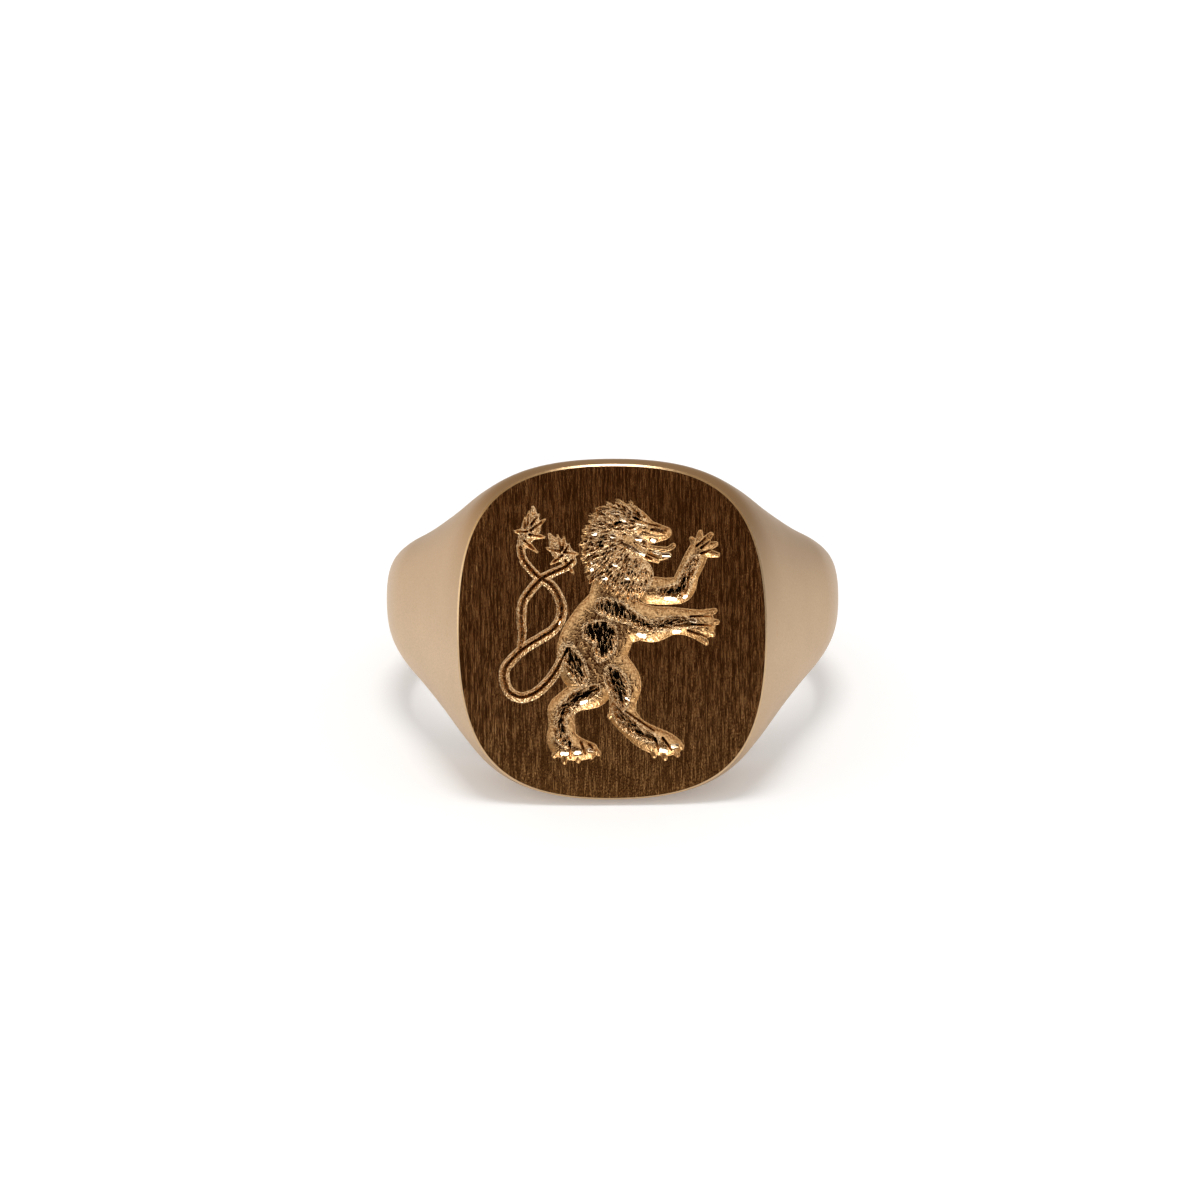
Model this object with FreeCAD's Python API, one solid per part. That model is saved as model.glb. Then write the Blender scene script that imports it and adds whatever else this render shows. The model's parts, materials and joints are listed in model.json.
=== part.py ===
import FreeCAD, Part
import math
import os

# Signet ring with a cushion-shaped seal face. A rampant lion is cut into the seal plate. The plate
# lies on a head block, two shoulders sweep down from the head, and two shank halves close the band.
# Thin layers of gold solder join the pieces.
# Millimetres. The origin is the centre of the finger hole. +Z runs along the finger hole and up the
# seal, -Y points out of the seal face, and +X is to the right of somebody who looks at the seal.

# The finger hole and the band
FINGER_RADIUS = 9.5
BAND_RADIUS = 10.85
SIDE_HALF_HEIGHT = 3.53
BACK_HALF_HEIGHT = 2.75
BAND_FULLNESS = 0.885
TAPER_POWER = 3

# The seal face: a flat cushion outline inside a narrow polished bevel
FACE_DISTANCE = 12.2
SEAL_WIDTH = 14.08
SEAL_HEIGHT = 15.38
SEAL_FULLNESS = 0.745
RIM_BEVEL = 0.08
PLATE_THICKNESS = 1.3

# The head and the shoulders behind the rim: depth under the seal face, half height, fullness
BODY_STATIONS = [
    (RIM_BEVEL, SEAL_HEIGHT / 2 + RIM_BEVEL, SEAL_FULLNESS),
    (2.7, 7.55, 0.75),
    (5.1, 6.39, 0.78),
    (7.6, 5.17, 0.82),
    (10.0, 4.25, 0.85),
    (FACE_DISTANCE, SIDE_HALF_HEIGHT, BAND_FULLNESS),
]

# The joints: the shoulders meet the head square to the band, at this angle from the seal's middle
HEAD_ANGLE = 40.0
SOLDER = 0.06

# The engraving: how deep each kind of cut goes into the plate
TRUNK_DEPTH = 0.6
LIMB_DEPTH = 0.45
TAIL_DEPTH = 0.3

# Each cut follows a path of (x, z, half width) points, seen from the front of the seal
TRUNK_CUTS = {
    "skull": [(0.4, 5.5, 0.4), (0.95, 5.05, 0.8), (1.8, 4.8, 0.45), (2.6, 4.7, 0.15)],
    "jaw": [(0.95, 3.75, 0.4), (1.75, 3.45, 0.28), (2.7, 3.55, 0.1)],
    "mane": [(-0.3, 5.3, 0.35), (0.15, 4.1, 1.1), (0.55, 2.9, 1.3), (0.8, 1.8, 1.1)],
    "trunk": [(0.6, 1.7, 1.2), (-0.05, 1.0, 1.4), (-0.4, -0.3, 1.6), (-0.95, -1.5, 1.3)],
}
LIMB_CUTS = {
    "raised_arm": [
        (1.3, 2.0, 0.5), (2.4, 1.75, 0.45), (3.3, 1.95, 0.4), (3.6, 2.75, 0.32), (4.1, 4.1, 0.4),
    ],
    "near_arm": [
        (0.4, 0.8, 0.9), (1.4, 0.35, 0.75), (2.6, 0.5, 0.6), (3.6, 0.55, 0.45), (4.3, 0.35, 0.5),
    ],
    "rear_thigh": [(-0.9, -1.4, 1.2), (-1.4, -2.3, 1.05), (-2.2, -3.1, 0.65)],
    "rear_shin": [(-2.45, -3.0, 0.5), (-2.4, -4.1, 0.5), (-2.15, -5.0, 0.6), (-1.5, -5.35, 0.55)],
    "front_thigh": [(-0.3, -1.4, 1.0), (0.4, -2.4, 0.85), (0.5, -3.3, 0.6)],
    "front_shin": [(0.5, -3.1, 0.55), (0.5, -4.1, 0.5), (1.4, -4.85, 0.5), (2.4, -5.2, 0.5)],
}
TAIL_CUTS = {
    "tail": [
        (-2.0, -0.9, 0.22), (-2.65, -1.9, 0.22), (-3.55, -2.75, 0.22), (-4.5, -2.85, 0.22),
        (-5.0, -2.0, 0.22), (-4.4, -1.05, 0.22), (-3.3, -0.2, 0.22), (-2.45, 0.5, 0.2),
        (-2.35, 1.3, 0.18), (-2.8, 2.15, 0.18), (-3.5, 2.65, 0.18), (-4.0, 3.3, 0.18),
        (-4.05, 4.1, 0.16),
    ],
    "tail_fork": [
        (-4.2, -0.75, 0.14), (-4.2, 0.6, 0.18), (-3.95, 1.7, 0.18), (-3.1, 2.6, 0.18),
        (-1.9, 3.4, 0.16),
    ],
}
# Hair flames and claws are short drops from (x, z) to a pointed (x, z), with a half width near the
# root. The sides swell out fast behind the round root: their first handle stands this much wider.
DROP_SWELL = 1.3
LEFT_TUFT = [
    ((-3.85, 4.4), (-3.55, 5.8), 0.35), ((-3.75, 4.5), (-3.0, 5.3), 0.3),
    ((-3.8, 4.4), (-3.0, 4.4), 0.3), ((-3.8, 4.6), (-4.55, 4.7), 0.28),
    ((-3.85, 4.6), (-3.95, 5.4), 0.28), ((-4.0, 4.2), (-3.4, 3.7), 0.18),
]
RIGHT_TUFT = [
    ((-2.2, 3.6), (-2.85, 4.6), 0.35), ((-2.25, 3.7), (-2.45, 4.55), 0.28),
    ((-2.2, 3.7), (-2.1, 4.5), 0.28), ((-2.2, 3.65), (-1.5, 3.65), 0.28),
    ((-2.3, 3.65), (-3.0, 3.95), 0.25), ((-2.3, 3.6), (-2.85, 3.2), 0.25),
]
RAISED_CLAWS = [
    ((4.1, 4.1), (4.2, 4.8), 0.22), ((4.15, 4.05), (4.7, 4.6), 0.22),
    ((4.1, 3.85), (4.95, 4.05), 0.22), ((4.05, 3.7), (5.0, 3.45), 0.2),
    ((4.0, 3.9), (3.6, 4.45), 0.18),
]
NEAR_CLAWS = [
    ((4.2, 0.6), (5.0, 0.95), 0.22), ((4.3, 0.4), (4.95, 0.4), 0.22),
    ((4.2, 0.15), (4.8, -0.2), 0.22), ((4.1, 0.1), (4.45, -0.65), 0.18),
]
REAR_CLAWS = [
    ((-2.3, -5.2), (-2.9, -5.8), 0.22), ((-2.1, -5.3), (-2.25, -6.1), 0.22),
    ((-1.6, -5.3), (-1.55, -6.05), 0.22), ((-1.3, -5.3), (-0.9, -5.75), 0.2),
]
FRONT_CLAWS = [
    ((1.6, -5.0), (1.95, -5.9), 0.22), ((2.2, -5.2), (2.55, -6.05), 0.22),
    ((2.5, -5.2), (3.15, -5.85), 0.22), ((2.5, -5.1), (3.4, -5.4), 0.2),
    ((0.4, -4.0), (-0.35, -3.95), 0.22),
]
DROPS = LEFT_TUFT + RIGHT_TUFT + RAISED_CLAWS + NEAR_CLAWS + REAR_CLAWS + FRONT_CLAWS

# Working sizes: how far the trimming blocks reach, the angle between the band's sections, and the
# share of each section's arch that lies inside the finger hole and is left out
FAR = 40.0
SECTION_STEP = 15
INSIDE_HOLE = 0.35


def band_half_width(depth):
    """Half width at a depth under the seal face: straight sides that run into the round band."""
    rim_x = SEAL_WIDTH / 2 + RIM_BEVEL
    rim_y = FACE_DISTANCE - RIM_BEVEL
    touch = math.atan2(rim_x, rim_y) + math.acos(BAND_RADIUS / math.hypot(rim_x, rim_y))
    touch_x, touch_y = BAND_RADIUS * math.sin(touch), BAND_RADIUS * math.cos(touch)
    height = FACE_DISTANCE - depth
    if height > touch_y:
        return rim_x + (touch_x - rim_x) * (rim_y - height) / (rim_y - touch_y)
    return math.sqrt(BAND_RADIUS**2 - height**2)


def band_half_height(angle):
    """Half height of the shank's cushion section, angle in radians from the middle of the seal."""
    taper = (1 + math.cos(angle)) ** TAPER_POWER
    return BACK_HALF_HEIGHT + (SIDE_HALF_HEIGHT - BACK_HALF_HEIGHT) * taper


def quarter(a, b, fullness, place):
    """One quarter of a cushion, from its side (a, 0) to its top (0, b)."""
    curve = Part.BezierCurve()
    curve.setPoles([place(a, 0), place(a, fullness * b), place(fullness * a, b), place(0, b)])
    return curve


def cushion(a, b, fullness, depth):
    """Closed cushion outline in the plane at a depth under the seal face."""
    edges = []
    for sx, sz in ((1, 1), (-1, 1), (-1, -1), (1, -1)):
        def place(x, z):
            return FreeCAD.Vector(sx * x, depth - FACE_DISTANCE, sz * z)
        edge = quarter(a, b, fullness, place).toShape()
        edges.append(edge if sx * sz > 0 else edge.reversed())
    return Part.Wire(Part.__sortEdges__(edges))


def band_section(angle):
    """D-shaped section of the band at an angle round the finger, closed inside the finger hole."""
    half_height = band_half_height(angle)
    halves = []
    for side in (1, -1):
        def place(r, z):
            return FreeCAD.Vector(r * math.sin(angle), -r * math.cos(angle), side * z)
        arch = quarter(BAND_RADIUS, half_height, BAND_FULLNESS, place)
        halves.append(arch.toShape(0, 1 - INSIDE_HOLE))
    inner = [half.valueAt(half.LastParameter) for half in halves]
    return Part.Wire(Part.__sortEdges__(halves + [Part.makeLine(inner[0], inner[1])]))


def slab(front, back):
    """Trimming block between two depths under the seal face."""
    corner = FreeCAD.Vector(-FAR, front - FACE_DISTANCE, -FAR / 2)
    return Part.makeBox(2 * FAR, back - front, FAR, corner)


def sector(start, end):
    """Trimming wedge between two angles in degrees, from the middle of the seal towards +X."""
    foot = FreeCAD.Vector(0, 0, -FAR / 2)
    up = FreeCAD.Vector(0, 0, 1)
    wedge = Part.makeCylinder(FAR, FAR, foot, up, end - start)
    wedge.rotate(FreeCAD.Vector(0, 0, 0), up, start - 90)
    return wedge


def finger_hole():
    return Part.makeCylinder(FINGER_RADIUS, FAR, FreeCAD.Vector(0, 0, -FAR / 2))


def make_body():
    """The head and both shoulders as one form, from under the bevel to past the finger's middle."""
    beyond = math.radians(90 + SECTION_STEP)
    last_depth = FACE_DISTANCE - BAND_RADIUS * math.cos(beyond)
    stations = BODY_STATIONS + [(last_depth, band_half_height(beyond), BAND_FULLNESS)]
    wires = [cushion(band_half_width(d), b, k, d) for d, b, k in stations]
    return Part.makeLoft(wires, True).cut(finger_hole())


def make_right_band():
    """The shank's form on the +X side, a little longer than needed at both ends."""
    angles = range(90 - SECTION_STEP, 180 + 2 * SECTION_STEP, SECTION_STEP)
    wires = [band_section(math.radians(a)) for a in angles]
    return Part.makeLoft(wires, True).cut(finger_hole())


def cut_outline(path):
    """Closed smooth outline round a path of (x, z, half width) points."""
    left, right = [], []
    for i, (x, z, half) in enumerate(path):
        x0, z0 = path[max(i - 1, 0)][:2]
        x1, z1 = path[min(i + 1, len(path) - 1)][:2]
        run = math.hypot(x1 - x0, z1 - z0)
        ux, uz = (x1 - x0) / run, (z1 - z0) / run
        left.append((x - uz * half, z + ux * half))
        right.append((x + uz * half, z - ux * half))
        if i == 0:
            start = (x - ux * half, z - uz * half)
    end = (x + ux * half, z + uz * half)
    points = [start] + left + [end] + right[::-1]
    curve = Part.BSplineCurve()
    curve.interpolate([FreeCAD.Vector(px, -FACE_DISTANCE, pz) for px, pz in points], True)
    return Part.Face(Part.Wire(curve.toShape()))


def drop_outline(root, tip, half):
    """Outline of a flame of hair or a claw: round at the root, pointed at the tip."""
    run = math.hypot(tip[0] - root[0], tip[1] - root[1])
    ux, uz = (tip[0] - root[0]) / run, (tip[1] - root[1]) / run

    def at(along, across):
        x = root[0] + ux * along - uz * across
        z = root[1] + uz * along + ux * across
        return FreeCAD.Vector(x, -FACE_DISTANCE, z)

    sides = []
    for side in (half, -half):
        curve = Part.BezierCurve()
        curve.setPoles([at(-half, 0), at(-half, side * DROP_SWELL), at(run / 2, side), at(run, 0)])
        sides.append(curve.toShape())
    return Part.Face(Part.Wire(Part.__sortEdges__(sides)))


def sink(faces, depth):
    """Recess of a given depth under outlines that lie in the seal face."""
    joined = faces[0].fuse(faces[1:]).removeSplitter()
    return joined.extrude(FreeCAD.Vector(0, depth, 0))


def make_lion():
    """The recesses that make up the lion."""
    trunk = [cut_outline(path) for path in TRUNK_CUTS.values()]
    limbs = [cut_outline(path) for path in LIMB_CUTS.values()]
    tails = [cut_outline(path) for path in TAIL_CUTS.values()]
    tails += [drop_outline(root, tip, half) for root, tip, half in DROPS]
    return [sink(trunk, TRUNK_DEPTH), sink(limbs, LIMB_DEPTH), sink(tails, TAIL_DEPTH)]


def make_seal_plate(body):
    """The plate of the seal: bevelled rim, flat face, and the lion sunk into it."""
    a, b = SEAL_WIDTH / 2, SEAL_HEIGHT / 2
    face = cushion(a, b, SEAL_FULLNESS, 0)
    foot = cushion(a + RIM_BEVEL, b + RIM_BEVEL, SEAL_FULLNESS, RIM_BEVEL)
    bevel = Part.makeLoft([face, foot], True, True)
    plate = bevel.fuse(body.common(slab(RIM_BEVEL, PLATE_THICKNESS))).removeSplitter()
    for recess in make_lion():
        plate = plate.cut(recess)
    return plate


def mirrored(shape):
    return shape.mirror(FreeCAD.Vector(0, 0, 0), FreeCAD.Vector(1, 0, 0))


def make_parts():
    body = make_body()
    band = make_right_band()
    seam_angle = math.degrees(2 * SOLDER / (FINGER_RADIUS + BAND_RADIUS))
    shoulder_angle = HEAD_ANGLE + seam_angle
    shank_angle = 90 + seam_angle
    closing_angle = 180 - seam_angle / 2

    head_seam = body.common(sector(HEAD_ANGLE, shoulder_angle))
    shoulder = body.common(sector(shoulder_angle, 90))
    shank_seam = band.common(sector(90, shank_angle))
    shank = band.common(sector(shank_angle, closing_angle))
    behind_plate = body.common(slab(PLATE_THICKNESS + SOLDER, FACE_DISTANCE))

    return {
        "seal_plate": make_seal_plate(body),
        "plate_seam": body.common(slab(PLATE_THICKNESS, PLATE_THICKNESS + SOLDER)),
        "head_block": behind_plate.common(sector(-HEAD_ANGLE, HEAD_ANGLE)),
        "left_head_seam": mirrored(head_seam),
        "right_head_seam": head_seam,
        "left_shoulder": mirrored(shoulder),
        "right_shoulder": shoulder,
        "left_shank_seam": mirrored(shank_seam),
        "right_shank_seam": shank_seam,
        "left_shank": mirrored(shank),
        "right_shank": shank,
        "closing_seam": band.common(sector(closing_angle, closing_angle + seam_angle)),
    }


os.makedirs("parts", exist_ok=True)
for name, shape in make_parts().items():
    shape.exportStep(f"parts/{name}.step")
    box = shape.BoundBox
    print(
        f"{name:16} {len(shape.Solids)} solid, {shape.Volume:8.3f} mm3, valid {shape.isValid()},"
        f" x {box.XMin:.2f} {box.XMax:.2f}, y {box.YMin:.2f} {box.YMax:.2f},"
        f" z {box.ZMin:.2f} {box.ZMax:.2f}"
    )
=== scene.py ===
# %% [markdown]
# # A gold signet ring with an engraved lion
#
# This lesson builds the looks of a gold signet ring round its CAD model. On the real ring a
# cushion-shaped seal plate carries a lion cut into the metal, so that it stands up out of the wax
# when the ring is pressed into it. The plate sits on a head block, shoulders run down from the head,
# and a band with a D-shaped section closes the ring. The CAD model fixes every size. What Blender
# adds is the engraver's and the polisher's work: the modelled lion, the brushed face, the bright
# bevel, the satin band and the light of a small studio.

# %% Load the packed model
import json
import math
import bmesh
import bpy
import numpy as np
from mathutils import Matrix, Vector
from mathutils.geometry import delaunay_2d_cdt


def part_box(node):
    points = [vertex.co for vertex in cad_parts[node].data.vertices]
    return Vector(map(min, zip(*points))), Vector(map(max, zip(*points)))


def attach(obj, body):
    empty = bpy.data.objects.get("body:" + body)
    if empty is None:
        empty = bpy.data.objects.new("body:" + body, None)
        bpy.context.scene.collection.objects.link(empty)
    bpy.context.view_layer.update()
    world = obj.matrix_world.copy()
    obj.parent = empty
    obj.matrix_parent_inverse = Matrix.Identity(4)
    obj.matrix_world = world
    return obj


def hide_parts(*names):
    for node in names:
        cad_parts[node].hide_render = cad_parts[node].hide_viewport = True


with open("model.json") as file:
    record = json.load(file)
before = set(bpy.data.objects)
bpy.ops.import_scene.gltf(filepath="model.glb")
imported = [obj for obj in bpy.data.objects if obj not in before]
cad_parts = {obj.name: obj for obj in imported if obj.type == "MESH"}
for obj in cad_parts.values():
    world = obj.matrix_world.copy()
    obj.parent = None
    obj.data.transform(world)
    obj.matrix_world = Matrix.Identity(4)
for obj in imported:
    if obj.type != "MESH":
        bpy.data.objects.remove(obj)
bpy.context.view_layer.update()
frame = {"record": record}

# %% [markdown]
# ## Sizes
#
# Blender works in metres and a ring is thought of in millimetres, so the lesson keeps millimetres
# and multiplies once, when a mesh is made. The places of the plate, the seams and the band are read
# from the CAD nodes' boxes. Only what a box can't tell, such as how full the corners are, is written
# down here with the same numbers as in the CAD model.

MM = 0.001


def in_mm(metres):
    """A length from the frame in millimetres, without the noise of single precision."""
    return round(metres / MM, 2)


FACE = -in_mm(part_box("seal_plate")[0].y)
PLATE_BACK = -in_mm(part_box("seal_plate")[1].y)
HEAD_FRONT = -in_mm(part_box("plate_seam")[1].y)
BAND_RADIUS = in_mm(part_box("right_shank")[1].x)
FINGER_RADIUS = frame["record"]["mounts"][0]["dims"]["r_mm"]
SOLDER = PLATE_BACK - HEAD_FRONT
HEAD_ANGLE = math.radians(40)
SEAM_ANGLE = 2 * SOLDER / (FINGER_RADIUS + BAND_RADIUS)

SEAL_HALF_WIDTH, SEAL_HALF_HEIGHT, SEAL_FULLNESS, RIM_BEVEL = 7.04, 7.69, 0.745, 0.08
SIDE_HALF_HEIGHT, BACK_HALF_HEIGHT, BAND_FULLNESS = 3.53, 2.75, 0.885
print(f"face {FACE} mm from the finger's axis, band radius {BAND_RADIUS}, finger radius {FINGER_RADIUS}")

# %% [markdown]
# ## The form of the ring
#
# Seen from the front, every slice of the head is a cushion: four Bezier quarters whose handles say
# how full the corners are. From the face backwards the cushion widens in a straight line until it
# runs into the round band, while its height shrinks from the tall seal to the narrow shank. Behind
# the finger the band is a slice of the same cushion turned round the finger's axis. One function,
# `wall_height`, knows all of this, so neighbouring pieces meet without a step.

# %% Describe the outer surface
def band_half_height(angle):
    """Half height of the band behind the finger, at an angle from the middle of the seal."""
    return BACK_HALF_HEIGHT + (SIDE_HALF_HEIGHT - BACK_HALF_HEIGHT) * (1 + np.cos(angle)) ** 3


# The last knot lies behind the finger's sides, so that the curve runs on smoothly into the band.
BEYOND = math.radians(105)
DEPTHS = np.array([RIM_BEVEL, 1.1, 2.7, 5.1, 7.6, 10.0, FACE, FACE - BAND_RADIUS * math.cos(BEYOND)])
HALF_HEIGHTS = np.array([
    SEAL_HALF_HEIGHT + RIM_BEVEL, 7.895, 7.55, 6.39, 5.17, 4.25, SIDE_HALF_HEIGHT,
    float(band_half_height(BEYOND))])
FULLNESSES = np.array([SEAL_FULLNESS, 0.747, 0.75, 0.78, 0.82, 0.85, BAND_FULLNESS, BAND_FULLNESS])


def smooth_curve(at, knots, values):
    """Smooth curve through knots: a Hermite spline that takes its slopes from the neighbours."""
    slopes = np.gradient(values, knots)
    i = np.clip(np.searchsorted(knots, at) - 1, 0, len(knots) - 2)
    span = knots[i + 1] - knots[i]
    t = (at - knots[i]) / span
    start = (1 + 2 * t) * (1 - t) ** 2 * values[i] + t * (1 - t) ** 2 * span * slopes[i]
    return start + t * t * (3 - 2 * t) * values[i + 1] - t * t * (1 - t) * span * slopes[i + 1]


RIM_X, RIM_Y = SEAL_HALF_WIDTH + RIM_BEVEL, FACE - RIM_BEVEL
TOUCH = math.atan2(RIM_X, RIM_Y) + math.acos(BAND_RADIUS / math.hypot(RIM_X, RIM_Y))
SIDE_SLOPE = (BAND_RADIUS * math.sin(TOUCH) - RIM_X) / (RIM_Y - BAND_RADIUS * math.cos(TOUCH))


def half_width(depth):
    """Half width of the slice at a depth under the face: straight sides, then the round band."""
    height = FACE - depth
    straight = RIM_X + SIDE_SLOPE * (RIM_Y - height)
    return np.where(height > BAND_RADIUS * math.cos(TOUCH), straight,
                    np.sqrt(np.maximum(BAND_RADIUS**2 - height**2, 1e-6)))


def quarter(t, fullness):
    """How far a cushion quarter has gone sideways at t; upwards it is the same with t turned round."""
    s = 1 - t
    return s**3 + 3 * s * s * t + 3 * fullness * s * t * t


HALVINGS = 40


def wall_height(r, angle):
    """Half height of the ring at a distance r from the finger's axis, at an angle from the seal."""
    angle = np.abs(angle)
    behind = angle >= math.pi / 2
    depth = np.where(behind, FACE, FACE - r * np.cos(angle))
    wide = np.where(behind, BAND_RADIUS, half_width(depth))
    tall = np.where(behind, band_half_height(angle), smooth_curve(depth, DEPTHS, HALF_HEIGHTS))
    full = np.where(behind, BAND_FULLNESS, smooth_curve(depth, DEPTHS, FULLNESSES))
    across = np.minimum(np.where(behind, r, r * np.sin(angle)) / wide, 1.0)
    low, high = np.zeros_like(across), np.ones_like(across)
    for _ in range(HALVINGS):
        t = (low + high) / 2
        beyond = quarter(t, full) > across
        low, high = np.where(beyond, t, low), np.where(beyond, high, t)
    return tall * quarter(1 - low, full)


def outer_radius(angle):
    """Distance from the finger's axis to the outside of the ring at half height."""
    angle = abs(angle)
    if angle > TOUCH:
        return BAND_RADIUS
    return (RIM_X + SIDE_SLOPE * RIM_Y) / (math.sin(angle) + SIDE_SLOPE * math.cos(angle))


print(f"half height at the rim {wall_height(np.array([RIM_Y]), np.array([0.0]))[0]:.2f} mm,"
      f" at the side {wall_height(np.array([FINGER_RADIUS]), np.array([math.pi / 2]))[0]:.2f} mm")

# %% [markdown]
# ## Turning sections into closed pieces
#
# Every piece behind the plate is a run of sections, each in a plane through the finger's axis: up
# the wall of the finger hole, round a softened edge, and out along the outer wall to the crown. A
# jeweller breaks the edge of the finger hole with a file, because a sharp one cuts the finger, so
# the edge is a small curve and not a corner. The sections are joined with quads and closed at both
# ends, which gives solid pieces that touch their neighbours face to face.

# %% Build sections and pieces
SOFT_EDGE = 0.16
INNER_STEPS, EDGE_STEPS, WALL_STEPS, FRONT_STEPS = 12, 6, 56, 8
SAME_POINT, SHARP_EDGE = 1e-4, math.radians(35)


def section(angle, front=None):
    """Closed loop of (r, z) points in the plane at an angle; front cuts it off behind the plate."""
    r_out = outer_radius(angle)
    if front is not None:
        r_out = min(r_out, front / math.cos(angle))

    def wall(r):
        return wall_height(r, np.full_like(r, angle))

    corner = wall(np.array([FINGER_RADIUS]))[0]
    inner_z = np.linspace(0, corner - SOFT_EDGE, INNER_STEPS)
    inner = np.stack([np.full(INNER_STEPS, FINGER_RADIUS), inner_z], 1)
    edge_r = FINGER_RADIUS + SOFT_EDGE
    start, middle = inner[-1], np.array([FINGER_RADIUS, corner])
    end = np.array([edge_r, wall(np.array([edge_r]))[0]])
    t = np.linspace(0, 1, EDGE_STEPS + 2)[1:-1, None]
    edge = (1 - t) ** 2 * start + 2 * t * (1 - t) * middle + t * t * end
    r = edge_r + (r_out - edge_r) * np.sin(np.linspace(0, math.pi / 2, WALL_STEPS))
    z = wall(r)
    if front is None:
        z[-1] = 0
    outer = np.stack([r, z], 1)
    front_z = np.linspace(z[-1], 0, FRONT_STEPS + 1)[1:] if front is not None else np.zeros(0)
    cap = np.stack([np.full(len(front_z), r_out), front_z], 1)
    top = np.concatenate([inner, edge, outer, cap])
    return np.concatenate([top, (top * (1, -1))[-2:0:-1]])


def mesh_piece(name, points, faces):
    """Object with a mesh of millimetre points, linked to the scene."""
    mesh = bpy.data.meshes.new(name)
    mesh.from_pydata((np.asarray(points) * MM).tolist(), [], faces)
    piece = bpy.data.objects.new(name, mesh)
    bpy.context.scene.collection.objects.link(piece)
    return piece


def closed_mesh(name, points, faces):
    """Smooth closed piece; doubled points are merged and normals turned outwards."""
    piece = mesh_piece(name, points, faces)
    work = bmesh.new()
    work.from_mesh(piece.data)
    bmesh.ops.remove_doubles(work, verts=work.verts, dist=SAME_POINT * MM)
    bmesh.ops.recalc_face_normals(work, faces=work.faces)
    work.to_mesh(piece.data)
    work.free()
    piece.data.shade_smooth()
    piece.data.set_sharp_from_angle(angle=SHARP_EDGE)
    return piece


def band_piece(name, angles, front=None):
    """Closed piece through the sections at the given angles, negative ones on the left."""
    loops = [section(angle, front) for angle in angles]
    around = len(loops[0])
    points = np.concatenate([
        np.stack([loop[:, 0] * math.sin(a), -loop[:, 0] * math.cos(a), loop[:, 1]], 1)
        for a, loop in zip(angles, loops)])
    faces = []
    for row in range(len(angles) - 1):
        for i in range(around):
            j = (i + 1) % around
            low, high = row * around, (row + 1) * around
            faces.append((low + i, low + j, high + j, high + i))
    faces.append(tuple(range(around)))
    faces.append(tuple((len(angles) - 1) * around + i for i in range(around)))
    return closed_mesh(name, points, faces)


# %% [markdown]
# ## The pieces behind the plate
#
# The head block's front is the plate's cushion outline, which meets the side wall at a slant. Even
# angles would step over that slant, so the block's sections are placed where the outline's own
# points are. The shoulders, the shank halves and the thin layers of solder between them only need
# even angles. Left pieces are the right ones with their angles turned round.

# %% Build the head, shoulders, shank and seams
ROW_ANGLE = math.radians(1.0)
UNDER_PLATE_SECTIONS = 45


def even_angles(start, end):
    """Angles from start to end, about a row apart."""
    return np.linspace(start, end, max(2, int(math.ceil(abs(end - start) / ROW_ANGLE)) + 1))


plate_half_width = float(half_width(FACE - HEAD_FRONT))
outline_x = plate_half_width * quarter(np.linspace(1, 0, UNDER_PLATE_SECTIONS), SEAL_FULLNESS)
under_plate = np.arctan2(outline_x, HEAD_FRONT)
right_half = np.concatenate([under_plate, even_angles(under_plate[-1], HEAD_ANGLE)[1:]])
head_angles = np.concatenate([-right_half[:0:-1], right_half])

QUARTER, BACK = math.pi / 2, math.pi
spans = {
    "head_seam": (HEAD_ANGLE, HEAD_ANGLE + SEAM_ANGLE),
    "shoulder": (HEAD_ANGLE + SEAM_ANGLE, QUARTER),
    "shank_seam": (QUARTER, QUARTER + SEAM_ANGLE),
    "shank": (QUARTER + SEAM_ANGLE, BACK - SEAM_ANGLE / 2),
}
pieces = {"head_block": band_piece("head_block_form", head_angles, HEAD_FRONT)}
for name, (start, end) in spans.items():
    pieces["right_" + name] = band_piece(f"right_{name}_form", even_angles(start, end))
    pieces["left_" + name] = band_piece(f"left_{name}_form", -even_angles(start, end))
closing = even_angles(BACK - SEAM_ANGLE / 2, BACK + SEAM_ANGLE / 2)
pieces["closing_seam"] = band_piece("closing_seam_form", closing)
for name, piece in pieces.items():
    print(f"{name}: {len(piece.data.polygons)} faces")

# %% [markdown]
# ## The plate's solder layer
#
# Between the plate and the head block lies a sheet of solder with the outline of the head. It is a
# short prism, so two cushion outlines and two caps are enough.

# %% Build the layer under the plate
OUTLINE_STEPS = 90


def cushion_ring(a, b, fullness, y):
    """Closed ring of points round a cushion in the plane at y."""
    t = np.linspace(0, 1, OUTLINE_STEPS + 1)
    x, z = a * quarter(t, fullness), b * quarter(1 - t, fullness)
    xs = np.concatenate([x[:-1], -x[:0:-1], -x[:-1], x[:0:-1]])
    zs = np.concatenate([z[:-1], z[:0:-1], -z[:-1], -z[:0:-1]])
    return np.stack([xs, np.full(len(xs), y), zs], 1)


def body_ring(depth):
    """Outline of the head at a depth under the face."""
    at = np.array([depth])
    tall, full = smooth_curve(at, DEPTHS, HALF_HEIGHTS)[0], smooth_curve(at, DEPTHS, FULLNESSES)[0]
    return cushion_ring(float(half_width(depth)), tall, full, depth - FACE)


def ring_faces(first, second, count):
    """Quads between two rings of points, each numbered from its own start."""
    steps = [(i, (i + 1) % count) for i in range(count)]
    return [(first + i, first + j, second + j, second + i) for i, j in steps]


layer = [body_ring(FACE - PLATE_BACK), body_ring(FACE - HEAD_FRONT)]
count = len(layer[0])
layer_faces = ring_faces(0, count, count) + [tuple(range(count)), tuple(range(count, 2 * count))]
pieces["plate_seam"] = closed_mesh("plate_seam_form", np.concatenate(layer), layer_faces)
print(f"plate seam: {count} points round")

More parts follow.
